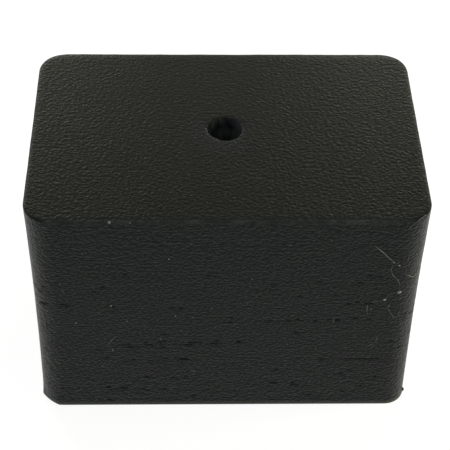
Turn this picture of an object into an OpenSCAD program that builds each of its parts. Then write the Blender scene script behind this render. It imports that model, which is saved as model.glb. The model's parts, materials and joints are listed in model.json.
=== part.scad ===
// Rubber foot: one block of solid black rubber, cut out of a thick slab whose upper skin
// keeps its grain, with a bolt hole down the middle. The cutter leaves the walls a little
// hollow, the corners a little tighter at the base, and a nub of rubber at one corner.
// All sizes are millimetres. The origin is the middle of the underside, +Z is up,
// +X runs along the long side and +Y points to the back.

/* [Block] */
// Length of the block from left to right
block_w = 60; // [30:0.5:120]
// Depth of the block from front to back
block_d = 40; // [24:0.5:100]
// Height of the block
block_h = 42; // [10:0.5:100]

/* [Corners and walls] */
// Radius of the four upright corners at the top
corner_r_top = 4.5; // [1:0.1:8]
// Radius of the four upright corners at the base
corner_r_base = 4; // [1:0.1:8]
// How far the walls draw in half way up
wall_dish = 0.2; // [0:0.05:1]
// Rounding of the edge between the walls and the top
top_edge_r = 0.3; // [0.1:0.05:1]

/* [Bolt hole] */
// Diameter of the hole, a clearance hole for an M5 bolt
bore_d = 5.5; // [3:0.1:12]
// How far the hole's centre lies behind the middle of the block
bore_back = 0.6; // [-4:0.1:4]

/* [Cutting nub] */
// Radius of the nub left at the foot of the front right corner
nub_r = 0.45; // [0.3:0.05:0.8]
// How far the nub stands out from the corner
nub_proud = 0.3; // [0.1:0.05:0.4]
// How far round the corner the nub sits, in degrees from the right wall
nub_turn = 15; // [0:1:80]

/* [Hidden] */

rubber_black = [0.13, 0.135, 0.13];
// Extra length that carries a cut clear through both faces
through = 1;
// Height of the nub's lowest point over the underside
nub_lift = 0.1;
// Straight pieces in a quarter turn of a corner
corner_steps = 10;
// Courses of the wall between the base and the top edge
wall_courses = 10;
// Courses of the rounded top edge
edge_courses = 3;

// Heights of the outlines that the block is lofted through, from the base up
wall_top = block_h - top_edge_r;
levels = concat(
    [for (i = [0 : wall_courses]) wall_top * i / wall_courses],
    [for (i = [1 : edge_courses]) wall_top + top_edge_r * sin(90 * i / edge_courses)]
);

// The wall is a shallow arc in section, furthest in half way up
function dish_at(z) = wall_dish * (1 - pow(2 * z / block_h - 1, 2));

// The top edge is a quarter round
function edge_at(z) = z <= wall_top ? 0
    : top_edge_r - sqrt(max(0, pow(top_edge_r, 2) - pow(z - wall_top, 2)));

// How far the outline lies inside the block's own rectangle at a height
function inset_at(z) = dish_at(z) + edge_at(z);

// The corners open out a little from the base to the top
function corner_r_at(z) = corner_r_base + (corner_r_top - corner_r_base) * z / block_h;

// A quarter turn about a corner's centre, anticlockwise from the angle start
function quarter(cx, cy, r, start) = [
    for (i = [0 : corner_steps])
        let (a = start + 90 * i / corner_steps)
        [cx + r * cos(a), cy + r * sin(a)]
];

// The block's outline at a height, a rectangle with round corners
function outline(z) =
    let (
        inset = inset_at(z),
        r = corner_r_at(z) - edge_at(z),
        cx = block_w / 2 - inset - r,
        cy = block_d / 2 - inset - r
    )
    concat(
        quarter(cx, cy, r, 0),
        quarter(-cx, cy, r, 90),
        quarter(-cx, -cy, r, 180),
        quarter(cx, -cy, r, 270)
    );

// Solid skinned over a stack of outlines that all have the same number of points
module loft(heights) {
    n = len(outline(heights[0]));
    last = len(heights) - 1;
    skin = [
        for (k = [0 : last - 1], i = [0 : n - 1])
            let (j = (i + 1) % n)
            [k * n + i, k * n + n + i, k * n + n + j, k * n + j]
    ];
    base = [for (i = [0 : n - 1]) i];
    lid = [for (i = [n - 1 : -1 : 0]) last * n + i];
    polyhedron(
        points = [for (z = heights, p = outline(z)) [p[0], p[1], z]],
        faces = concat(skin, [base], [lid]),
        convexity = 4
    );
}

// Nub of rubber that the cutter left standing on the corner
module nub() {
    reach = corner_r_base + nub_proud - nub_r;
    translate([block_w / 2 - corner_r_base, corner_r_base - block_d / 2, nub_lift + nub_r])
        rotate([0, 0, -nub_turn])
            translate([reach, 0, 0])
                sphere(r = nub_r, $fn = 24);
}

// The whole foot, pierced from the top to the base
module foot_block() {
    color(rubber_black)
        difference() {
            union() {
                loft(levels);
                nub();
            }
            translate([0, bore_back, -through])
                cylinder(d = bore_d, h = block_h + 2 * through, $fn = 64);
        }
}

foot_block();
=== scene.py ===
# %% [markdown]
# # A solid rubber foot
#
# This lesson dresses one plain part: a block of black rubber that stands under a bench or an
# instrument, 60 by 40 by 42 millimetres, with one bolt hole down its middle. A block looks easy,
# and that is the trap. What makes it read as rubber is small: a leathery skin on top, cut walls
# with level streaks, corners that go pale where you look along them, and a little lint.
#
# The CAD model comes first. It is the frame that everything else is measured from, so the script
# loads it, keeps its box for later and writes no size that the frame already holds.

import json
import math

import bmesh
import bpy
from mathutils import Euler, Matrix, Vector, noise
from mathutils.bvhtree import BVHTree


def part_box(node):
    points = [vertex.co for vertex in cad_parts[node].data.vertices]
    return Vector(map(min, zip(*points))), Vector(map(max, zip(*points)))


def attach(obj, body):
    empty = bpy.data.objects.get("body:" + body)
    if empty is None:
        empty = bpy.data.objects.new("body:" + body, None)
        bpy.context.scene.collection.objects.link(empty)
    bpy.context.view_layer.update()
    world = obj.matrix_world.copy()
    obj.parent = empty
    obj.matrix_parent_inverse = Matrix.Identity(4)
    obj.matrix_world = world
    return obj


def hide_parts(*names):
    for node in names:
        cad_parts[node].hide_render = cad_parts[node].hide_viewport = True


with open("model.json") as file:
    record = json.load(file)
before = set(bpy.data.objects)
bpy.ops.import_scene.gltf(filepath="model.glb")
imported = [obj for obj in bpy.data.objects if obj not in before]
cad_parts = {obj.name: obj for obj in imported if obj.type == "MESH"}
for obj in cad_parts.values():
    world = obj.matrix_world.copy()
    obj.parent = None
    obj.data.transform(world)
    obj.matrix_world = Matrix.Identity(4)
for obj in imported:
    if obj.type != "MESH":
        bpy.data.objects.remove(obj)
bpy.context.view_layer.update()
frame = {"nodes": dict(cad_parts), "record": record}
node_low, node_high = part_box("foot_block")
mounts = {mount["name"]: mount for mount in frame["record"]["mounts"]}

MM = 0.001
print("frame:", sorted(frame["nodes"]), "box in mm", [round(v / MM, 2) for v in (*node_low, *node_high)])

# %% [markdown]
# ## Sizes
#
# The block's half sizes come from the node's own box. The low X side is used for the width,
# because the high X side also holds the little nub at the foot of one corner. The hole comes from
# the record's bolt hole mount. Only what the box can't tell is written here as a number: the
# corner radii, the hollow of the walls and the rounding of the rims.

# %% Sizes of the block
half_w = -node_low.x
half_d = node_high.y
height = node_high.z
bore_r = mounts["bolt_hole"]["dims"]["r_mm"] * MM
bore_y = mounts["bolt_hole"]["pos_m"][1]

corner_r_top = 4.5 * MM
corner_r_base = 4.0 * MM
corner_r_nub = 3.4 * MM
wall_dish = 0.2 * MM
top_edge_r = 0.3 * MM
bore_edge_r = 0.1 * MM
print("block", round(2 * half_w / MM, 2), "x", round(2 * half_d / MM, 2), "x", round(height / MM, 2), "mm")

# %% [markdown]
# ## The outline
#
# The real block was cut out of a thick slab, so its walls all follow one outline: a rectangle
# with round corners. It could be typed in as points, but a quad whose four corners are bevelled
# gives the same shape with true arcs. The straight runs are then cut into short lengths, because
# the surface needs enough vertices to carry its relief. The face is deleted at the end, and the
# loop of edges stays.

# %% Cut the outline from a quad
CORNER_STEPS = 20
WALL_STEP = 0.7 * MM

block = bmesh.new()
plan_scale = Matrix.Diagonal((half_w, half_d, 1, 1))
bmesh.ops.create_grid(block, x_segments=1, y_segments=1, size=1, matrix=plan_scale)
bmesh.ops.bevel(block, geom=block.verts[:], offset=corner_r_top, offset_type="OFFSET", affect="VERTICES",
                segments=CORNER_STEPS, profile=0.5, material=-1, clamp_overlap=True)
for edge in [e for e in block.edges if e.calc_length() > corner_r_top]:
    cuts = round(edge.calc_length() / WALL_STEP) - 1
    bmesh.ops.subdivide_edges(block, edges=[edge], cuts=cuts)
bmesh.ops.delete(block, geom=block.faces[:], context="FACES_ONLY")
base_loop = block.edges[:]
print("outline of", len(base_loop), "edges")

# %% [markdown]
# ## Walls, faces and hole
#
# Extruding the loop raises the four walls in one go. The top and the underside are rings of quads
# that run from the wall to the hole: a circle with as many points as the outline is drawn at each
# end, and bridge_loops joins the pairs. The same operator joins the two circles into the wall of
# the hole, and the block is closed without a single hand-made face.

# %% Raise the walls and bridge to the hole
SEGMENTS = len(base_loop)
MOUTH_SPREAD = 1.3
SAME_LEVEL = 0.001 * MM


def near_hole(p):
    """True for a point of the hole or of its rim."""
    return math.hypot(p.x, p.y - bore_y) < MOUTH_SPREAD * bore_r


def loop_at(bm, z, inside):
    """The edges of the closed loop at height z, round the hole or round the block."""
    found = []
    for e in bm.edges:
        flat = all(abs(v.co.z - z) < SAME_LEVEL for v in e.verts)
        near = all(near_hole(v.co) for v in e.verts)
        if flat and near == inside:
            found.append(e)
    return found


raised = bmesh.ops.extrude_edge_only(block, edges=base_loop)
lifted = [g for g in raised["geom"] if isinstance(g, bmesh.types.BMVert)]
bmesh.ops.translate(block, verts=lifted, vec=(0, 0, height))
for z in (0.0, height):
    place = Matrix.Translation((0, bore_y, z))
    bmesh.ops.create_circle(block, cap_ends=False, segments=SEGMENTS, radius=bore_r, matrix=place)
rims = {(z, inside): loop_at(block, z, inside) for z in (0.0, height) for inside in (True, False)}
for z in (0.0, height):
    bmesh.ops.bridge_loops(block, edges=rims[z, True] + rims[z, False])
bmesh.ops.bridge_loops(block, edges=rims[0.0, True] + rims[height, True])
print("closed block of", len(block.faces), "faces")

# %% [markdown]
# ## Rims and a finer skin
#
# A moulded skin never meets a cut wall in a knife edge: the rim round the top is rounded by about
# 0.3 mm, and the mouth of the hole by 0.1 mm. Bevelling the two loops while the faces are still
# long keeps the bevel free of clamping. Only then are the long edges cut into courses and rings,
# most of them less than half a millimetre apart.

# %% Round the rims, then cut the long edges
RIM_STEPS = 4
WALL_COURSES = 150
TOP_RINGS = 56
BASE_RINGS = 16
BORE_COURSES = 30
LONG_EDGE = 5 * MM

for rim, radius in ((rims[height, False], top_edge_r), (rims[height, True], bore_edge_r)):
    bmesh.ops.bevel(block, geom=rim, offset=radius, offset_type="OFFSET", affect="EDGES",
                    segments=RIM_STEPS, profile=0.5, material=-1, clamp_overlap=True)


def long_edges(bm, upright, inside, z=None):
    """Long edges that stand up or lie flat, at any height or at z, in the hole or on the outside."""
    found = []
    for e in bm.edges:
        a, b = (v.co for v in e.verts)
        if e.calc_length() < LONG_EDGE or (abs(a.z - b.z) > LONG_EDGE) != upright:
            continue
        if z is not None and abs(a.z - z) > SAME_LEVEL:
            continue
        if (near_hole(a) and near_hole(b)) == inside:
            found.append(e)
    return found


courses = ((long_edges(block, True, False), WALL_COURSES),
           (long_edges(block, True, True), BORE_COURSES),
           (long_edges(block, False, False, height), TOP_RINGS),
           (long_edges(block, False, False, 0.0), BASE_RINGS))
for edges, parts in courses:
    bmesh.ops.subdivide_edges(block, edges=edges, cuts=parts - 1, use_grid_fill=True)
triangles = sum(len(f.verts) - 2 for f in block.faces)
print("block skin of", len(block.verts), "vertices and", triangles, "triangles")

# %% [markdown]
# ## Hollow walls and tighter corners at the base
#
# Thick rubber bulges under a cutter and springs back hollow: half way up, each wall lies 0.2 mm
# further in than at its ends. The corners come out a little tighter at the base than at the top,
# the front right one most of all. At the foot of the front left one the blade ran straight across
# the round, 2.2 mm along the side wall and 2.7 mm along the front, and the cut fades out 2.5 mm
# up. All of this is small moves of the vertices that are already there, so the block keeps its
# size.

# %% Shape the walls
ROUND_SLACK = 1.2


def is_outside(p):
    """True on the walls and their rim, false in the hole and on the two flat faces."""
    return max(abs(p.x) - half_w, abs(p.y) - half_d) > -top_edge_r or on_corner(p)


def on_corner(p):
    """True on the round of a corner."""
    cx, cy = half_w - corner_r_top, half_d - corner_r_top
    dx, dy = abs(p.x) - cx, abs(p.y) - cy
    return dx > 0 and dy > 0 and math.hypot(dx, dy) > corner_r_top - ROUND_SLACK * top_edge_r


CUT_SIDE = 2.2 * MM
CUT_FRONT = 2.7 * MM
CUT_SHARE = 0.6
CUT_REACH = 2.5 * MM
CUT_FROM = 0.15


def on_cut(turned):
    """The point of the straight cut that stands for a share, from 0 to 1, of the corner's round."""
    start, end = Vector((half_w, half_d - corner_r_base)), Vector((half_w - corner_r_base, half_d))
    near, far = Vector((half_w, half_d - CUT_SIDE)), Vector((half_w - CUT_FRONT, half_d))
    if turned < CUT_FROM:
        return start.lerp(near, turned / CUT_FROM)
    if turned > 1 - CUT_FROM:
        return far.lerp(end, (turned - 1 + CUT_FROM) / CUT_FROM)
    return near.lerp(far, (turned - CUT_FROM) / (1 - 2 * CUT_FROM))


def shape_wall(p):
    """Where a wall vertex goes: onto the corner radius of its height, then in by the hollow."""
    base_r = corner_r_nub if p.x > 0 and p.y < 0 else corner_r_base
    r = base_r + (corner_r_top - base_r) * p.z / height
    cx, cy = half_w - corner_r_top, half_d - corner_r_top
    x, y = abs(p.x), abs(p.y)
    if x > cx and y > cy:
        turned = math.atan2(y - cy, x - cx) / (math.pi / 2)
        x = half_w - r + (x - cx) * r / corner_r_top
        y = half_d - r + (y - cy) * r / corner_r_top
        if p.x < 0 and p.y < 0 and p.z < CUT_REACH:
            x, y = Vector((x, y)).lerp(on_cut(turned), CUT_SHARE * (1 - p.z / CUT_REACH))
    level = 2 * p.z / height - 1
    hollow = wall_dish * (1 - level * level)
    x -= hollow * min(1.0, x / cx)
    y -= hollow * min(1.0, y / cy)
    return Vector((math.copysign(x, p.x), math.copysign(y, p.y), p.z))


wall_verts = [v for v in block.verts if is_outside(v.co)]
for v in wall_verts:
    v.co = shape_wall(v.co)
print("walls shaped:", len(wall_verts), "vertices")

# %% [markdown]
# ## Relief that the mesh can carry
#
# Soft rubber is never as true as metal. A slow unevenness keeps the outline from looking
# machined, and a shorter ripple, just over a millimetre long, roughens the rim round the top. The
# back edge of the top is also rolled down a little, where the cutter dragged the skin with it.
# All three only take rubber away, so the block never grows past its own size, and the lowest
# 0.3 mm of the walls is left true. Blender's noise gives the same value for the same point on
# every run, so nothing random is left. The grain itself is too fine for this mesh and is left to
# the materials.

# %% Press the relief into the mesh
UNEVEN_PITCH = 5 * MM
UNEVEN_DEPTH = 0.06 * MM
RIPPLE_PITCH = 1.3 * MM
RIPPLE_DEPTH = 0.07 * MM
RIM_REACH = 1.2 * MM
ROLLED_DEPTH = 0.085 * MM
ROLLED_REACH = 2.4 * MM
TRUE_FOOT = 0.3 * MM


def rolled(p):
    """How far the skin is dragged down at the back edge of the top."""
    share = max(0.0, 1.0 - (half_d - p.y) / ROLLED_REACH) if p.z > height - RIM_REACH else 0.0
    return ROLLED_DEPTH * min(1.0, share) ** 2


def sunk(p, pitch, depth):
    """How deep the relief lies at a point: from nothing to the full depth."""
    return depth * (0.5 + 0.5 * noise.noise(p / pitch))


def rim_share(p):
    """1 at the rim round the top, fading to 0 a little way down the wall or in on the top."""
    down = height - p.z
    inward = min(half_w - abs(p.x), half_d - abs(p.y))
    return max(0.0, 1.0 - max(down, inward) / RIM_REACH)


bmesh.ops.recalc_face_normals(block, faces=block.faces[:])
moves = []
for v in block.verts:
    share = 0.0 if near_hole(v.co) else rim_share(v.co)
    move = v.normal * (-share * sunk(v.co, RIPPLE_PITCH, RIPPLE_DEPTH)) - Vector((0, 0, rolled(v.co)))
    if is_outside(v.co) and v.co.z > TRUE_FOOT:
        move -= v.normal * sunk(v.co, UNEVEN_PITCH, UNEVEN_DEPTH)
    moves.append((v, move))
for v, move in moves:
    v.co += move
print("relief at most", round(max(move.length for _, move in moves) / MM, 3), "mm deep")

# %% [markdown]
# ## The mouth of the hole
#
# The hole was punched after the skin was pressed. Rubber gives way unevenly there: the rim dips
# and wanders by a tenth of a millimetre, and at the front left a short lip stands into the hole,
# so that its edge runs straight for a moment. The lip is the outline of the circle, cut off by a
# chord. The punch also leaned a little, so the mouth lies 0.2 mm further back than the hole below
# it. All of it fades out a millimetre and a half down.

# %% Wear the mouth of the hole
MOUTH_REACH = 1.5 * MM
MOUTH_PITCH = 0.9 * MM
MOUTH_WANDER = 0.14 * MM
MOUTH_DIP = 0.06 * MM
MOUTH_FADE = 0.3
DIP_SPREAD = 1.15
DIP_FADE = 0.1
DIP_REACH = 0.5 * MM
WANDER_UPRIGHT = 0.3
LIP_TURN = math.radians(238)
LIP_REACH = 0.96
LIP_LEAST = 0.5
MOUTH_LEAN = Vector((-0.1 * MM, 0.2 * MM, 0))


def wear_mouth(p):
    """Where a vertex near the mouth of the hole goes."""
    share = max(0.0, 1.0 - (height - p.z) / MOUTH_REACH)
    dx, dy = p.x, p.y - bore_y
    r = math.hypot(dx, dy)
    leaning = share * min(1.0, (MOUTH_SPREAD - r / bore_r) / MOUTH_FADE)
    dipping = share * min(1.0, max(0.0, (DIP_SPREAD - r / bore_r) / DIP_FADE))
    wander = MOUTH_WANDER * noise.noise(Vector((dx, dy, WANDER_UPRIGHT * p.z)) / MOUTH_PITCH)
    chord = LIP_REACH * bore_r / max(LIP_LEAST, math.cos(math.atan2(dy, dx) - LIP_TURN))
    lip = max(0.0, bore_r - chord)
    grown = r + share * (wander - lip)
    dip = dipping * sunk(p, MOUTH_PITCH, MOUTH_DIP) if p.z > height - DIP_REACH else 0.0
    return Vector((dx * grown / r, bore_y + dy * grown / r, p.z - dip)) + leaning * MOUTH_LEAN


mouth = [v for v in block.verts if near_hole(v.co) and v.co.z > height - MOUTH_REACH]
for v in mouth:
    v.co = wear_mouth(v.co)
print("mouth of the hole:", len(mouth), "vertices")

# %% [markdown]
# ## Tears in the wall
#
# Here and there the blade tore the rubber instead of cutting it. Each tear is a dark level dash, a few tenths
# of a millimetre high and up to two long. They lie in bands, where the blade dragged, and only on the lower
# three quarters of the walls. One longer score runs low on the right half of the front. Bump can't make them
# dark, because the surface would still mirror the white room, so they are real: the faces that a noise picks
# are pushed in and get a finish of their own, whose darker colour and weaker mirror are painted shade for the
# inside of the tear.

# %% Pick the finishes and tear the wall
SKIN, WALL, BORE, TORN = range(4)
FLAT_FROM = 0.7
TEAR_LENGTH = 1.5 * MM
TEAR_HEIGHT = 0.3 * MM
TEAR_DEPTH = 0.04 * MM
BAND_LENGTH = 20 * MM
BAND_HEIGHT = 1.8 * MM
BAND_WEIGHT = 0.6
TEAR_LIMIT = 0.68
TORN_FROM = 0.7 * MM
TORN_TO = 31 * MM
SCORE_FROM = 18.9 * MM
SCORE_TO = 24.9 * MM
SCORE_UP = 11.3 * MM
SCORE_HIGH = 0.28 * MM
SCORE_LIMIT = -0.45


def is_torn(p):
    """True where the wall is torn: short level dashes, more of them in some bands, and one score."""
    dash = noise.noise(Vector((p.x / TEAR_LENGTH, p.y / TEAR_LENGTH, p.z / TEAR_HEIGHT)))
    band = noise.noise(Vector((p.x / BAND_LENGTH, p.y / BAND_LENGTH, p.z / BAND_HEIGHT)))
    if p.y < 0 and SCORE_FROM < p.x < SCORE_TO and abs(p.z - SCORE_UP) < SCORE_HIGH / 2:
        return dash > SCORE_LIMIT
    return dash + BAND_WEIGHT * band > TEAR_LIMIT and TORN_FROM < p.z < TORN_TO


def finish_of(face):
    """Which of the four finishes a face has."""
    middle = face.calc_center_median()
    if abs(face.normal.z) > FLAT_FROM:
        return SKIN
    if near_hole(middle):
        return BORE
    return TORN if is_torn(middle) else WALL


block.normal_update()
for face in block.faces:
    face.smooth = True
    face.material_index = finish_of(face)
torn_verts = {v for f in block.faces if f.material_index == TORN for v in f.verts}
for v in torn_verts:
    v.co -= v.normal * TEAR_DEPTH
print("torn faces:", sum(f.material_index == TORN for f in block.faces))

# %% Finish the block's mesh
SHARP_FROM = math.radians(50)

skin_mesh = bpy.data.meshes.new("foot_skin")
block.to_mesh(skin_mesh)
skin_mesh.set_sharp_from_angle(angle=SHARP_FROM)
foot_skin = bpy.data.objects.new("foot_skin", skin_mesh)
bpy.context.scene.collection.objects.link(foot_skin)
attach(foot_skin, "root")
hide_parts("foot_block")
seat = BVHTree.FromBMesh(block)
block.free()
print("foot skin of", len(skin_mesh.polygons), "faces")

# %% [markdown]
# ## The nub
#
# Where the cutter left the slab, at the foot of the front right corner, a crumb of rubber still
# stands out. It is a small ball, pressed flat against the corner and made ragged with noise. Its
# place comes from the frame: the node's box is wider on the high X side by just this nub.

# %% Make the nub
NUB_R = 0.45 * MM
NUB_TURN = math.radians(-14)
NUB_LIFT = 0.1 * MM
NUB_RAGGED = 0.12
NUB_LUMPS = 2.0
NUB_FLAT = 0.8

reach = (node_high.x - half_w + corner_r_nub - NUB_R) / math.cos(NUB_TURN)
nub = bmesh.new()
bmesh.ops.create_icosphere(nub, subdivisions=3, radius=1.0)
for v in nub.verts:
    v.co *= 1.0 - NUB_RAGGED * (0.5 + 0.5 * noise.noise(NUB_LUMPS * v.co))
middle = Vector((half_w - corner_r_nub + reach * math.cos(NUB_TURN),
                 corner_r_nub - half_d + reach * math.sin(NUB_TURN), NUB_R + NUB_LIFT))
bmesh.ops.transform(nub, verts=nub.verts[:],
                    matrix=Matrix.Translation(middle) @ Matrix.Rotation(NUB_TURN, 4, "Z")
                    @ Matrix.Diagonal((NUB_R, NUB_FLAT * NUB_R, NUB_R, 1)))
for face in nub.faces:
    face.smooth = True
nub_mesh = bpy.data.meshes.new("cutting_nub")
nub.to_mesh(nub_mesh)
nub.free()
cutting_nub = bpy.data.objects.new("cutting_nub", nub_mesh)
bpy.context.scene.collection.objects.link(cutting_nub)
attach(cutting_nub, "root")
print("nub at", [round(c / MM, 2) for c in middle], "mm")

# %% [markdown]
# ## Camera
#
# The view was worked back from the block's own outline in the photograph: it looks down at
# 44 degrees, a little to the right, from 225 millimetres, through a long lens. The camera is
# turned by three plain turns: tipped up from straight down, swung round the upright, and rolled
# by the slight tilt of the picture. It comes before the lint, because the lint is laid where the
# photograph shows it.

# %% Camera
CAMERA_PITCH = math.radians(44.41)
CAMERA_YAW = math.radians(2.09)
CAMERA_ROLL = math.radians(1.40)
CAMERA_DISTANCE = 225.4 * MM
AIM_RIGHT = 0.22 * MM
AIM_UP = 0.65 * MM
SENSOR = 36.0
FRAME_PIXELS = 450
FOCAL_PIXELS = 1365.1

turn = (Matrix.Rotation(-CAMERA_YAW, 4, "Z") @ Matrix.Rotation(math.pi / 2 - CAMERA_PITCH, 4, "X")
        @ Matrix.Rotation(CAMERA_ROLL, 4, "Z"))
back = turn.to_3x3() @ Vector((AIM_RIGHT, AIM_UP, CAMERA_DISTANCE))
view = Matrix.Translation(Vector((0, 0, height / 2)) + back) @ turn
camera_data = bpy.data.cameras.new("camera")
camera_data.sensor_width = SENSOR
camera_data.lens = FOCAL_PIXELS * SENSOR / FRAME_PIXELS
camera_data.clip_start = 0.01
camera_data.clip_end = 50.0
camera = bpy.data.objects.new("camera", camera_data)
camera.matrix_world = view
bpy.context.scene.collection.objects.link(camera)
bpy.context.scene.camera = camera
bpy.context.scene.view_settings.view_transform = "Standard"
print("camera lens", round(camera_data.lens, 2), "mm")

# %% [markdown]
# ## Lint
#
# Rubber clings to lint. Most of it lies on the right half of the front wall: a few hair-thin
# fibres, one long enough to loop, and crumbs of dust caught on them. Each is listed by the pixels
# at which the photograph shows it. A ray from the camera through that pixel meets the block, and
# that is where the fibre is laid, so every piece rests on the rubber and none floats. Real cotton
# is about 0.02 mm thick. It is drawn coarser here, 0.07 mm and 0.035 mm, so that it shows.

# %% Find a place on the block
def seen_at(px, py):
    """The point of the block behind a pixel of the photograph, and the normal there."""
    aim = Vector(((px - FRAME_PIXELS / 2) / FOCAL_PIXELS, (FRAME_PIXELS / 2 - py) / FOCAL_PIXELS, -1.0))
    spot, normal, _, _ = seat.ray_cast(view.translation, view.to_3x3() @ aim)
    return spot, normal


# %% Lay the fibres
FIBRE_THICK = 0.07 * MM
HAIR_THICK = 0.035 * MM
THIN_END = 0.45
LAY_STEP = 2.5
FIBRES = (((427, 214.5), (421, 218.5), (414, 224), (408.7, 229.5)),
          ((375, 245.6), (384, 253), (394.4, 262.6)),
          ((404.5, 274.5), (409, 275.5), (413, 277), (417, 272.5)))
HAIRS = (((392.6, 265), (391.3, 270), (392.5, 274.5), (397.5, 279.5), (400, 284), (399.6, 290)),
         ((384.6, 299.8), (388, 295.8), (392.5, 292.9), (399.4, 292.3)),
         ((371, 302.5), (374, 301.3), (378, 301), (384, 300)),
         ((367.5, 305), (366.8, 310), (367.5, 314.4)),
         ((387, 306), (390, 312), (394, 317.5), (397.5, 316), (400, 310)),
         ((334, 317.5), (333.2, 320), (334, 323)),
         ((379.8, 334), (376.9, 337.3), (375.2, 342.4), (369.2, 345.3), (361.6, 347.5)),
         ((190, 369.4), (192, 371), (195, 371.2)),
         ((106, 345), (111, 341), (116, 336)))


def along(pixels):
    """Pixels about one LAY_STEP apart on the straight runs between those pixels."""
    found = []
    for (ax, ay), (bx, by) in zip(pixels, pixels[1:]):
        parts = max(1, round(math.hypot(bx - ax, by - ay) / LAY_STEP))
        found += [(ax + (bx - ax) * i / parts, ay + (by - ay) * i / parts) for i in range(parts)]
    return found + [pixels[-1]]


def lay(curve, pixels, thickness):
    """One fibre on the block through those pixels, thinner at its two ends."""
    spline = curve.splines.new("NURBS")
    stations = along(pixels)
    spline.points.add(len(stations) - 1)
    for i, (point, pixel) in enumerate(zip(spline.points, stations)):
        spot, normal = seen_at(*pixel)
        point.co = (*(spot + normal * thickness / 2), 1.0)
        point.radius = THIN_END + (1 - THIN_END) * math.sin(math.pi * i / (len(stations) - 1))
    spline.order_u = 3
    spline.use_endpoint_u = True


def keep_inside(mesh):
    """Press lint that stands proud of the block's own box flat against it."""
    for v in mesh.vertices:
        v.co = [min(max(c, low), high) for c, low, high in zip(v.co, node_low, node_high)]


def fibre_piece(name, fibres, thickness):
    """All fibres of one thickness as one mesh of thin closed tubes."""
    curve = bpy.data.curves.new(name, "CURVE")
    curve.dimensions = "3D"
    curve.resolution_u = 6
    curve.bevel_depth = thickness / 2
    curve.bevel_resolution = 1
    curve.use_fill_caps = True
    for pixels in fibres:
        lay(curve, pixels, thickness)
    tubes = bpy.data.objects.new(name + "_run", curve)
    made = bpy.data.objects.new(name, bpy.data.meshes.new_from_object(tubes))
    bpy.data.objects.remove(tubes)
    keep_inside(made.data)
    bpy.context.scene.collection.objects.link(made)
    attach(made, "root")
    return made


lint_fibres = fibre_piece("lint_fibres", FIBRES, FIBRE_THICK)
lint_hairs = fibre_piece("lint_hairs", HAIRS, HAIR_THICK)
print("fibres:", len(lint_fibres.data.polygons) + len(lint_hairs.data.polygons), "faces")

# %% Drop the crumbs
CRUMB_R = 0.11 * MM
CRUMB_SUNK = 0.1
CRUMB_SHAPE = (1.0, 0.8, 0.5)
# Each size, as a multiple of CRUMB_R, with the pixels of its crumbs.
CRUMBS = {3.1: ((399.4, 292.3),),
          2.0: ((384.6, 299.8), (109, 222.5)),
          1.5: ((394.4, 262.6), (399.4, 265.6), (111, 306)),
          1.1: ((168.8, 259), (76, 323), (175.6, 316), (389, 306), (112.8, 350)),
          0.8: ((126.9, 321.5), (60, 284), (193, 317.5), (160.6, 339), (102.5, 366), (398, 280),
                (252, 279), (130, 223), (371, 309))}

crumbs = bmesh.new()
for share, pixels in CRUMBS.items():
    for pixel in pixels:
        spot, normal = seen_at(*pixel)
        lie = normal.to_track_quat("Z", "Y").to_matrix().to_4x4()
        r = share * CRUMB_R
        size = Matrix.Diagonal((*(part * r for part in CRUMB_SHAPE), 1))
        bmesh.ops.create_icosphere(crumbs, subdivisions=2, radius=1.0,
                                   matrix=Matrix.Translation(spot - normal * CRUMB_SUNK * r) @ lie @ size)
crumb_mesh = bpy.data.meshes.new("lint_crumbs")
crumbs.to_mesh(crumb_mesh)
crumbs.free()
keep_inside(crumb_mesh)
lint_crumbs = bpy.data.objects.new("lint_crumbs", crumb_mesh)
bpy.context.scene.collection.objects.link(lint_crumbs)
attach(lint_crumbs, "root")
print("crumbs:", len(crumb_mesh.polygons), "faces")

# %% [markdown]
# ## Tools for materials
#
# Colours are written as they look on a screen, in hex, and one function turns them to the linear
# values that a shader wants. A second small function adds any node with its settings and links.
# The rest are short words for what every rubber finish needs: a sum or a product, a noise at a
# real pitch, drawn out where the pitch has three lengths, a soft threshold, a blend of two
# colours, and a bump that adds up several patterns, each with its own depth in metres. Most values
# of a noise lie between 0.35 and 0.65, so the thresholds that split one in two run over that span.

# %% Colour and node helpers
NOISE_SPAN = (0.35, 0.65)
NOISE_ROUGHNESS = 0.55


def linear(hex_colour):
    """An sRGB hex colour as linear RGBA."""
    parts = [int(hex_colour[i:i + 2], 16) / 255 for i in (1, 3, 5)]
    return tuple(c / 12.92 if c <= 0.04045 else ((c + 0.055) / 1.055) ** 2.4 for c in parts) + (1.0,)


def add(tree, kind, sockets=None, **settings):
    """A node of that kind: settings are its own properties, sockets a value or a link for each input."""
    made = tree.nodes.new(kind)
    for name, value in settings.items():
        setattr(made, name, value)
    for key, value in (sockets or {}).items():
        if isinstance(value, bpy.types.NodeSocket):
            tree.links.new(value, made.inputs[key])
        else:
            made.inputs[key].default_value = value
    return made


def new_material(name):
    """An empty material, its tree and its object coordinates."""
    material = bpy.data.materials.new(name)
    material.use_nodes = True
    material.node_tree.nodes.clear()
    return material, material.node_tree, add(material.node_tree, "ShaderNodeTexCoord").outputs["Object"]


def maths(tree, operation, *values):
    """Values or links put together by one operation, such as ADD or MULTIPLY."""
    return add(tree, "ShaderNodeMath", dict(enumerate(values)), operation=operation).outputs[0]


def pattern(tree, place, pitch, detail=2.0, distortion=0.0):
    """A noise whose features are one pitch apart. A pitch of three lengths draws it out."""
    sizes = pitch if isinstance(pitch, tuple) else (pitch, pitch, pitch)
    per_size = tuple(1 / s for s in sizes)
    scaled = add(tree, "ShaderNodeVectorMath", {0: place, 1: per_size}, operation="MULTIPLY")
    sockets = {"Vector": scaled.outputs["Vector"], "Scale": 1.0, "Detail": detail,
               "Roughness": NOISE_ROUGHNESS, "Distortion": distortion}
    return add(tree, "ShaderNodeTexNoise", sockets).outputs["Fac"]


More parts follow.
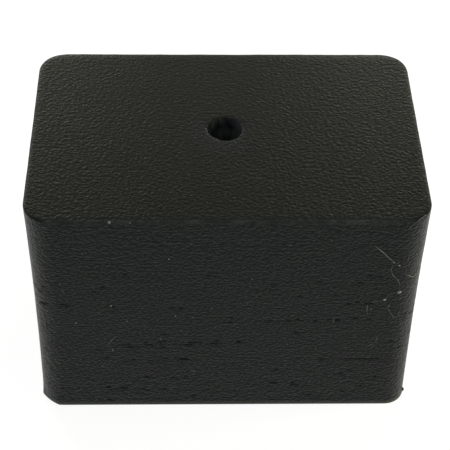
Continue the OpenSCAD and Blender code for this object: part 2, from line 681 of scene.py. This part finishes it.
def ramp(tree, value, low, high, at_low=0.0, at_high=1.0):
    """A value carried from one range to another, and held at its ends."""
    return add(tree, "ShaderNodeMapRange", {"Value": value, "From Min": low, "From Max": high,
                                            "To Min": at_low, "To Max": at_high}).outputs["Result"]


def blend(tree, share, low_colour, high_colour):
    """From one colour, as hex or a link, to another."""
    ends = [linear(c) if isinstance(c, str) else c for c in (low_colour, high_colour)]
    return add(tree, "ShaderNodeMix", {"Factor": share, "A": ends[0], "B": ends[1]},
               data_type="RGBA").outputs["Result"]


def relief(tree, parts):
    """The normal of a surface with those patterns pressed in, each a link and a depth in metres."""
    total = 0.0
    for value, depth in parts:
        total = maths(tree, "MULTIPLY_ADD", value, depth, total)
    return add(tree, "ShaderNodeBump", {"Height": total, "Distance": 1.0, "Strength": 1.0}).outputs["Normal"]


def finish(tree, **sockets):
    """The shader and the output. Constants go on the shader's own sockets."""
    named = {key.replace("_", " "): value for key, value in sockets.items()}
    shader = add(tree, "ShaderNodeBsdfPrincipled", named)
    add(tree, "ShaderNodeOutputMaterial", {"Surface": shader.outputs["BSDF"]})

# %% [markdown]
# ## Painted highlight along the rim
#
# The rounded edge round the top catches the light in a broken pale line, and that line is painted into the
# colour: a painted highlight. Both finishes meet there, so both call this one function, and the line runs on
# across the seam between them. How far a point lies from the edge is worked out from its own coordinates: the
# way in from the nearest wall plus the way down from the top.

# %% Painted rim highlight
# The colour of the painted highlight along the rim.
RIM_HIGHLIGHT = "#4c504c"
RIM_LINE_REACH = 0.7 * MM
RIM_LINE_FULL = RIM_LINE_REACH / 3
RIM_GLINT_PITCH = 1.6 * MM
RIM_GLINT_SPAN = (0.4, 0.65)
RIM_GLINT_LEAST = 0.4


def ways_in(tree, place):
    """The way in from the side walls, in from the front or back wall, and down from the top."""
    folded = add(tree, "ShaderNodeVectorMath", {0: place}, operation="ABSOLUTE").outputs["Vector"]
    corner = (half_w, half_d, height)
    inward = add(tree, "ShaderNodeVectorMath", {0: corner, 1: folded}, operation="SUBTRACT").outputs["Vector"]
    return add(tree, "ShaderNodeSeparateXYZ", {0: inward}).outputs[:]


def painted_rim_highlight(tree, place, colour):
    """That colour, with a painted highlight: pale in a broken line along the rim round the top."""
    from_side, from_front, down = ways_in(tree, place)
    away = maths(tree, "ADD", maths(tree, "MINIMUM", from_side, from_front), down)
    broken = ramp(tree, pattern(tree, place, RIM_GLINT_PITCH), *RIM_GLINT_SPAN, RIM_GLINT_LEAST, 1.0)
    line = ramp(tree, away, RIM_LINE_FULL, RIM_LINE_REACH, 1.0, 0.0)
    return blend(tree, maths(tree, "MULTIPLY", line, broken), colour, RIM_HIGHLIGHT)


# The pale line along the rim is a painted highlight.
print("rim worn over", round(RIM_LINE_REACH / MM, 1), "mm")

# %% [markdown]
# ## The grained skin
#
# The top and the underside keep the skin of the slab: natural rubber with carbon black, pressed against a
# grained plate. To the eye it is a warm black with a fine leathery grain, about half a millimetre from ridge
# to ridge, a little longer side to side and pressed a little deeper toward the front. The ridges are rubbed
# smooth and catch the light, and the valleys stay matt and are painted darker, as painted shade in the
# hollows of the grain. One noise drives relief, colour and roughness, so that light and shade agree. Its
# gloss is low: rubber mirrors far less than paint does. In front of the hole, toward its front left, the skin
# is painted a paler, cooler grey where the mouth catches the light: a painted highlight. A narrow strip along
# the front rim is blended toward a cooler grey too.

# %% Material: pressed rubber skin
SKIN_GLOSS = 0.07
SKIN_MATT = 0.40
SKIN_RUBBED = 0.33
GRAIN_PITCH = (0.56 * MM, 0.5 * MM, 0.5 * MM)
GRAIN_BEND = 0.2
GRAIN_DEPTH = 0.125 * MM
GRAIN_AT_BACK = 0.64
PATCH_PITCH = 6 * MM
FRONT_REACH = 2.2 * MM
FRONT_SHARE = 0.6
RING_R = 6.5 * MM
RING_SIDE = (-0.6, -0.8, 0.0)
RING_SHARE = 0.45

skin_material, tree, place = new_material("pressed_rubber_skin")
grain = pattern(tree, place, GRAIN_PITCH, detail=1.0, distortion=GRAIN_BEND)
patches = ramp(tree, pattern(tree, place, PATCH_PITCH), *NOISE_SPAN)
ridges = ramp(tree, grain, *NOISE_SPAN)
# Dark valleys and pale ridges of the grain: the darker valleys are painted shade.
deep_black = blend(tree, ridges, "#050503", "#1c1c13")
worn_black = blend(tree, ridges, "#070705", "#212117")
colour = blend(tree, patches, deep_black, worn_black)
y = add(tree, "ShaderNodeSeparateXYZ", {0: place}).outputs["Y"]
front = ramp(tree, y, RIM_LINE_REACH - half_d, FRONT_REACH - half_d, FRONT_SHARE, 0.0)
colour = blend(tree, front, colour, "#1a1e1d")
to_mouth = (0.0, -bore_y, -height)
from_hole = add(tree, "ShaderNodeVectorMath", {0: place, 1: to_mouth}, operation="ADD").outputs["Vector"]
out = add(tree, "ShaderNodeVectorMath", {0: from_hole}, operation="LENGTH").outputs["Value"]
along_side = add(tree, "ShaderNodeVectorMath", {0: from_hole, 1: RING_SIDE}, operation="DOT_PRODUCT")
on_side = ramp(tree, along_side.outputs["Value"], 0.0, bore_r)
# A paler, cooler grey in front of the hole, toward its front left: a painted highlight where the mouth
# catches the light.
painted_ring_highlight = maths(tree, "MULTIPLY", ramp(tree, out, bore_r, RING_R, RING_SHARE, 0.0), on_side)
# The pale line along the rim is a painted highlight.
colour = painted_rim_highlight(tree, place, blend(tree, painted_ring_highlight, colour, "#2b2e33"))
pressed = maths(tree, "MULTIPLY", grain, ramp(tree, y, -half_d, half_d, 1.0, GRAIN_AT_BACK))
finish(tree, Base_Color=colour, Roughness=ramp(tree, grain, *NOISE_SPAN, SKIN_MATT, SKIN_RUBBED),
       Specular_IOR_Level=SKIN_GLOSS, Normal=relief(tree, [(pressed, GRAIN_DEPTH)]))
print("material", skin_material.name, "with", len(tree.nodes), "nodes")

# %% [markdown]
# ## The cut wall
#
# The walls are cut rubber: a cooler and duller black. The blade leaves a fine level tooth all over, which is
# rubbed about half away round the corners, and the layers of the slab show as longer level ripples. The
# hollows of the tooth are painted darker: painted shade. Some dust sits in it too fine to model: each pale
# dot is the middle of a cell of a Voronoi pattern that happens to lie in the surface. The last millimetre
# above the base is painted pale all along: painted light from the floor. A cut face mirrors a little more
# than the pressed skin does, and the dust on it shows as a faint warm bloom where the eye looks along the
# wall, which is what sheen is for.

# %% Material: cut rubber
WALL_GLOSS = 0.1
WALL_MATT = 0.40
WALL_RUBBED = 0.30
DUST_BLOOM = 0.06
BLOOM_ROUGHNESS = 0.4
TOOTH_PITCH = (0.52 * MM, 0.52 * MM, 0.4 * MM)
TOOTH_DEPTH = 0.27 * MM
CORNER_RUBBED = 0.55
CORNER_FULL = corner_r_base / 4
LAYER_PITCH = (2.6 * MM, 2.6 * MM, 0.45 * MM)
LAYER_DEPTH = 0.07 * MM
DUST_PITCH = 1.6 * MM
DUST_R = 0.13 * MM
BASE_REACH = 0.9 * MM
BASE_FLOOR_LIGHT = 0.9

wall_material, tree, place = new_material("cut_rubber_wall")
tooth = pattern(tree, place, TOOTH_PITCH, detail=1.0)
layers = pattern(tree, place, LAYER_PITCH, detail=1.0)
cells = add(tree, "ShaderNodeTexVoronoi", {"Vector": place, "Scale": 1 / DUST_PITCH}).outputs
dots = ramp(tree, cells["Distance"], DUST_R / DUST_PITCH / 2, DUST_R / DUST_PITCH, 1.0, 0.0)
dust = maths(tree, "MULTIPLY", dots, cells["Color"])
# The tooth's hollows are painted darker: painted shade.
colour = blend(tree, ramp(tree, tooth, *NOISE_SPAN), "#101514", "#232a28")
up = add(tree, "ShaderNodeSeparateXYZ", {0: place}).outputs["Z"]
# The last millimetre above the base painted pale: painted light from the floor.
colour = blend(tree, ramp(tree, up, 0.0, BASE_REACH, BASE_FLOOR_LIGHT, 0.0), colour, "#86877c")
# The pale line along the rim is a painted highlight.
colour = painted_rim_highlight(tree, place, blend(tree, dust, colour, "#8c8c86"))
from_side, from_front, _ = ways_in(tree, place)
from_corner = maths(tree, "MAXIMUM", from_side, from_front)
rubbed = ramp(tree, from_corner, CORNER_FULL, corner_r_base, CORNER_RUBBED, 1.0)
bitten = maths(tree, "MULTIPLY", tooth, rubbed)
finish(tree, Base_Color=colour, Roughness=ramp(tree, tooth, *NOISE_SPAN, WALL_MATT, WALL_RUBBED),
       Specular_IOR_Level=WALL_GLOSS, Sheen_Weight=DUST_BLOOM, Sheen_Roughness=BLOOM_ROUGHNESS,
       Sheen_Tint=linear("#ffe6c0"),
       Normal=relief(tree, [(bitten, TOOTH_DEPTH), (layers, LAYER_DEPTH)]))
print("material", wall_material.name, "with", len(tree.nodes), "nodes")

# %% [markdown]
# ## The torn rubber
#
# Inside a tear the rubber is rough and open. Its colour is painted darker than the cut wall, and it mirrors
# half as much: painted shade for the inside of the tear, which the shallow dent can't cast. So it is the
# darkest thing on the foot.

# %% Material: torn rubber
TORN_GLOSS = 0.045
TORN_ROUGHNESS = 0.7
TORN_PITCH = 0.3 * MM
TORN_RELIEF = 0.1 * MM

torn_material, tree, place = new_material("torn_rubber")
ragged = pattern(tree, place, TORN_PITCH)
# The darker colour and the weaker mirror are painted shade for the inside of the tear.
finish(tree, Base_Color=blend(tree, ragged, "#0c0f0e", "#1e2221"), Roughness=TORN_ROUGHNESS,
       Specular_IOR_Level=TORN_GLOSS, Normal=relief(tree, [(ragged, TORN_RELIEF)]))
print("material", torn_material.name, "with", len(tree.nodes), "nodes")

# %% [markdown]
# ## The punched hole
#
# A punch drags the rubber down with it, so the wall of the hole has upright streaks, a few tenths of a
# millimetre wide. Its colour is painted light and shade. Near its two ends it is painted dark, and deeper in
# it is painted the palest grey of all, painted light against the shade that fills the hole. The left side of
# the hole is painted dark all the way down, painted shade on the side the lamps light, and the right side is
# painted greyer, painted light.

# %% Material: punched rubber
BORE_GLOSS = 0.05
BORE_ROUGHNESS = 0.45
DRAG_PITCH = (0.6 * MM, 0.6 * MM, 1.8 * MM)
DRAG_DEPTH = 0.12 * MM
# Depths of the painted light deep in the hole, and where the painted side shade and light begin.
DEEP_LIGHT_FROM = 1.8 * MM
DEEP_LIGHT_TO = 3.2 * MM
SIDE_PAINT_FROM = 0.3
RIGHT_LIGHT_SHARE = 0.9

bore_material, tree, place = new_material("punched_rubber_bore")
drag = pattern(tree, place, DRAG_PITCH)
streaks = ramp(tree, drag, *NOISE_SPAN)
x, _, up = add(tree, "ShaderNodeSeparateXYZ", {0: place}).outputs
down = maths(tree, "SUBTRACT", height, up)
from_end = maths(tree, "MINIMUM", up, down)
# Dark near both ends: painted shade. Paler deep in: painted light against the shade in the hole.
painted_shade_near_ends = blend(tree, streaks, "#2a2e2d", "#484c4b")
painted_light_deep_in = blend(tree, streaks, "#525654", "#747977")
colour = blend(tree, ramp(tree, from_end, DEEP_LIGHT_FROM, DEEP_LIGHT_TO), painted_shade_near_ends, painted_light_deep_in)
# The left side painted dark: painted shade.
left = ramp(tree, x, -bore_r, -SIDE_PAINT_FROM * bore_r, 1.0, 0.0)
colour = blend(tree, left, colour, "#1a1e1d")
# The right side painted greyer: painted light.
right = ramp(tree, x, SIDE_PAINT_FROM * bore_r, bore_r, 0.0, RIGHT_LIGHT_SHARE)
colour = blend(tree, right, colour, "#74797c")
finish(tree, Base_Color=colour, Roughness=BORE_ROUGHNESS, Specular_IOR_Level=BORE_GLOSS,
       Normal=relief(tree, [(drag, DRAG_DEPTH)]))
for material in (skin_material, wall_material, bore_material, torn_material):
    skin_mesh.materials.append(material)
nub_mesh.materials.append(wall_material)
print("material", bore_material.name, "with", len(tree.nodes), "nodes")

# %% [markdown]
# ## Lint fibre
#
# Cotton lint is off-white and quite matt. Along each fibre the colour wanders between clean and
# dusty, so that part of it sinks into the black.

# %% Material: cotton lint
LINT_GLOSS = 0.2
LINT_ROUGHNESS = 0.9
LINT_PITCH = 0.8 * MM

lint_material, tree, place = new_material("cotton_lint")
soiled = ramp(tree, pattern(tree, place, LINT_PITCH), *NOISE_SPAN)
finish(tree, Base_Color=blend(tree, soiled, "#f0f0ea", "#a5a59f"), Roughness=LINT_ROUGHNESS,
       Specular_IOR_Level=LINT_GLOSS)
for piece in (lint_fibres, lint_hairs, lint_crumbs):
    piece.data.materials.clear()
    piece.data.materials.append(lint_material)
print("material", lint_material.name, "with", len(tree.nodes), "nodes")

# %% [markdown]
# ## Floor and background
#
# The photograph has a plain white ground. A white that is bright enough for that would throw far
# too much light on a black part, so the floor is two things: to the camera and to reflections it
# is nearly white by itself, with a thinner share of real diffuse white that still shows the
# part's shadow. To the light that bounces round the scene it is an ordinary pale floor.

# %% Floor and world
FLOOR_HALF = 6.0
FLOOR_GLOW = 0.9
BOUNCED_SKY = 0.2
SHOWN_SKY = 1.0


def shown_rays(tree):
    """1 for a ray from the camera, a reflection or a transmission, 0 for light that bounces."""
    rays = add(tree, "ShaderNodeLightPath").outputs
    seen_or_mirrored = maths(tree, "MAXIMUM", rays["Is Camera Ray"], rays["Is Glossy Ray"])
    return maths(tree, "MAXIMUM", seen_or_mirrored, rays["Is Transmission Ray"])


floor_material, tree, _ = new_material("white_floor")
bounced = add(tree, "ShaderNodeBsdfDiffuse", {"Color": linear("#e6e6e4")})
shadowed = add(tree, "ShaderNodeBsdfDiffuse", {"Color": linear("#a0a0a0")})
glow = add(tree, "ShaderNodeEmission", {"Color": linear("#ffffff"), "Strength": FLOOR_GLOW})
seen = add(tree, "ShaderNodeAddShader", {0: shadowed.outputs[0], 1: glow.outputs[0]})
mixed = add(tree, "ShaderNodeMixShader", {0: shown_rays(tree), 1: bounced.outputs[0], 2: seen.outputs[0]})
add(tree, "ShaderNodeOutputMaterial", {"Surface": mixed.outputs[0]})

floor = bmesh.new()
bmesh.ops.create_grid(floor, x_segments=4, y_segments=4, size=FLOOR_HALF)
floor_mesh = bpy.data.meshes.new("floor")
floor.to_mesh(floor_mesh)
floor.free()
floor_mesh.materials.append(floor_material)
floor_object = bpy.data.objects.new("floor", floor_mesh)
bpy.context.scene.collection.objects.link(floor_object)

world = bpy.data.worlds.new("studio")
world.use_nodes = True
bpy.context.scene.world = world
tree = world.node_tree
tree.nodes.clear()
dim = add(tree, "ShaderNodeBackground", {"Color": linear("#f4ffff"), "Strength": BOUNCED_SKY})
white = add(tree, "ShaderNodeBackground", {"Color": linear("#ffffff"), "Strength": SHOWN_SKY})
mixed = add(tree, "ShaderNodeMixShader", {0: shown_rays(tree), 1: dim.outputs[0], 2: white.outputs[0]})
add(tree, "ShaderNodeOutputWorld", {"Surface": mixed.outputs[0]})
print("floor and world ready")

# %% [markdown]
# ## Lights
#
# Black rubber shows its shape by what it mirrors at a shallow angle. Two pairs of small soft
# boxes stand low behind the block, left and right of the line of sight, with a dark gap between
# them. Where the top mirrors one of them it is brighter, so it grows paler to the back and to its
# two sides. The near pair draws the grain, and the wide pair softens it and gives the corners
# their pale edge. One more, at the right, does the same for that side.

# %% Soft boxes
NEAR_WHITE = "#fdffea"
WARM_WHITE = "#fff2d6"


def softbox(name, turn_degrees, rise_degrees, reach, size, watts, tint):
    """A square light, placed by its turn from straight behind the block and its rise over the floor."""
    data = bpy.data.lights.new(name, "AREA")
    data.shape = "SQUARE"
    data.size = size
    data.energy = watts
    data.color = linear(tint)[:3]
    lamp = bpy.data.objects.new(name, data)
    swing = Euler((math.radians(rise_degrees), 0, -math.radians(turn_degrees))).to_matrix()
    out = swing @ Vector((0, reach, 0))
    lamp.location = Vector((0, 0, height / 2)) + out
    lamp.rotation_euler = (-out).to_track_quat("-Z", "Y").to_euler()
    bpy.context.scene.collection.objects.link(lamp)


# Turn and rise in degrees, reach and size in metres, power in watts.
softbox("box_near_left", -15, 24, 0.40, 0.06, 0.20, NEAR_WHITE)
softbox("box_near_right", 15, 24, 0.40, 0.06, 0.17, NEAR_WHITE)
softbox("box_wide_left", -32, 24, 0.40, 0.06, 0.24, NEAR_WHITE)
softbox("box_wide_right", 32, 24, 0.40, 0.06, 0.17, NEAR_WHITE)
softbox("box_right", 90, 22, 0.45, 0.14, 0.8, WARM_WHITE)
